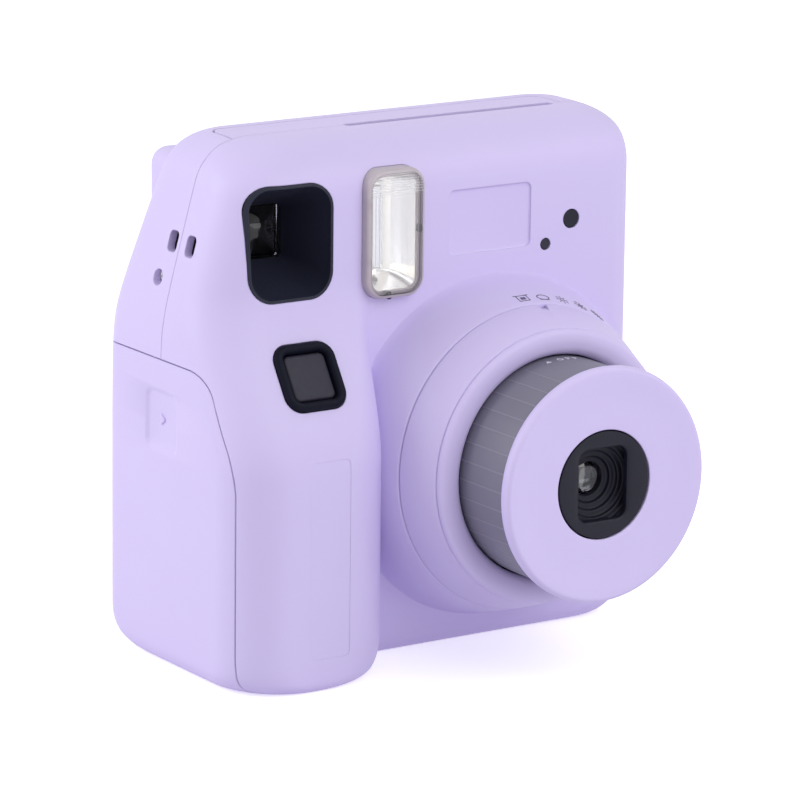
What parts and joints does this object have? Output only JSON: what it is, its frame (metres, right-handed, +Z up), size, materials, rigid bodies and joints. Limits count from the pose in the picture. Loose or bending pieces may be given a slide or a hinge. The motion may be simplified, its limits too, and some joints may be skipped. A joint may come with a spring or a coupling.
{
  "type": "instant camera",
  "caption": "Rounded upright instant film camera with hand grip, pull-out lens barrel, turning exposure dial, flash, viewfinder, side battery cover, rear film door and top film exit.",
  "frame": {"origin": "on the flat base, half-way across the body, 24 mm behind the front face", "axes": "+Z up, +X to the right seen from the front, the lens and flash look to -Y"},
  "size_m": [0.1192, 0.0934, 0.1215],
  "materials": {
    "lilac_plastic": "satin moulded lilac plastic",
    "black_plastic": "matte black plastic",
    "grey_plastic": "satin dark grey plastic",
    "clear_plastic": "clear moulded plastic",
    "optical_glass": "polished lens glass",
    "steel": "plain steel",
    "reflector_mirror": "bright plated reflector",
    "board_green": "solder-masked circuit board",
    "gear_white": "white moulded gear plastic",
    "cell_wrap": "printed metal can, left plain"
  },
  "bodies": {
    "camera_body": {"barrel_guide": "lilac_plastic", "base_case_screw": "steel", "battery_tray": "black_plastic", "button_rim": "black_plastic", "button_spring": "steel", "circuit_board": "board_green", "counter_window": "clear_plastic", "door_hinge_pin": "steel", "exposure_window": "black_plastic", "eyepiece_frame": "black_plastic", "eyepiece_lens": "clear_plastic", "film_chamber": "black_plastic", "film_motor": "steel", "finder_hood": "black_plastic", "finder_objective": "clear_plastic", "finder_tube": "black_plastic", "flash_capacitor": "cell_wrap", "flash_reflector": "reflector_mirror", "flash_tube": "optical_glass", "flash_window": "clear_plastic", "front_case": "lilac_plastic", "front_cell": "cell_wrap", "front_contact": "steel", "front_contact_spring": "steel", "left_case_screw": "steel", "light_tunnel": "black_plastic", "lower_contact": "steel", "rear_case": "lilac_plastic", "rear_cell": "cell_wrap", "rear_contact": "steel", "rear_contact_spring": "steel", "release_switch": "steel", "right_case_screw": "steel", "sensor_window": "black_plastic", "strap_pocket": "black_plastic", "top_cover": "lilac_plastic"},
    "lens": {"lens_barrel": "grey_plastic", "front_disc": "lilac_plastic", "lens_bezel": "black_plastic", "lens_baffle": "black_plastic", "front_lens": "optical_glass", "shutter_plate": "black_plastic", "lens_holder": "black_plastic", "rear_lens": "optical_glass", "shutter_coil": "steel"},
    "shutter_leaf": {"shutter_blade": "black_plastic"},
    "dial": {"mode_dial": "lilac_plastic"},
    "button": {"shutter_button": "black_plastic"},
    "battery_door": {"battery_cover": "lilac_plastic"},
    "back_door": {"film_door": "lilac_plastic", "film_window": "clear_plastic", "left_pack_spring": "steel", "right_pack_spring": "steel"},
    "latch": {"door_latch": "black_plastic"},
    "front_roller_body": {"front_roller": "steel"},
    "rear_roller_body": {"rear_roller": "steel"},
    "idler": {"idler_gear": "gear_white"},
    "pinion": {"drive_pinion": "gear_white"},
    "counter": {"counter_dial": "gear_white"}
  },
  "joints": [
    {"name": "lens_slide", "type": "slide", "parent": "camera_body", "child": "lens", "axis": [0, 1, 0], "range_m": [0, 0.014]},
    {"name": "shutter_swing", "type": "hinge", "parent": "lens", "child": "shutter_leaf", "pos_m": [0.03305, -0.05575, 0.04985], "axis": [0, 1, 0], "range_deg": [0, 50]},
    {"name": "dial_turn", "type": "hinge", "parent": "camera_body", "child": "dial", "pos_m": [0.01855, -0.044, 0.04685], "axis": [0, 1, 0], "range_deg": [0, 36.4]},
    {"name": "button_press", "type": "slide", "parent": "camera_body", "child": "button", "axis": [0, 0.8353, -0.5498], "range_m": [0, 0.0012], "stiffness_N_per_m": 400, "deforming": ["button_spring"]},
    {"name": "battery_cover_off", "type": "slide", "parent": "camera_body", "child": "battery_door", "axis": [-1, 0, 0], "range_m": [0, 0.04]},
    {"name": "back_door_hinge", "type": "hinge", "parent": "camera_body", "child": "back_door", "pos_m": [0.0546, 0.0198, 0.0575], "axis": [0, 0, -1], "range_deg": [0, 90]},
    {"name": "latch_slide", "type": "slide", "parent": "back_door", "child": "latch", "axis": [0, 0, 1], "range_m": [0, 0.004]},
    {"name": "front_roller_turn", "type": "hinge", "parent": "camera_body", "child": "front_roller_body", "pos_m": [0.01855, -0.0082, 0.111], "axis": [1, 0, 0], "continuous": true},
    {"name": "rear_roller_turn", "type": "hinge", "parent": "camera_body", "child": "rear_roller_body", "pos_m": [0.01855, -0.0016, 0.111], "axis": [1, 0, 0], "continuous": true},
    {"name": "idler_turn", "type": "hinge", "parent": "camera_body", "child": "idler", "pos_m": [0.053, -0.00772, 0.10166], "axis": [1, 0, 0], "continuous": true},
    {"name": "pinion_turn", "type": "hinge", "parent": "camera_body", "child": "pinion", "pos_m": [0.053, -0.0145, 0.0965], "axis": [1, 0, 0], "continuous": true},
    {"name": "counter_turn", "type": "hinge", "parent": "camera_body", "child": "counter", "pos_m": [-0.027, 0.0139, 0.06], "axis": [0, -1, 0], "range_deg": [0, 300]}
  ],
  "couplings": [
    {"joint": "rear_roller_turn", "follows": "front_roller_turn", "ratio": -1},
    {"joint": "idler_turn", "follows": "front_roller_turn", "ratio": -0.54546},
    {"joint": "pinion_turn", "follows": "front_roller_turn", "ratio": 1.3333}
  ]
}
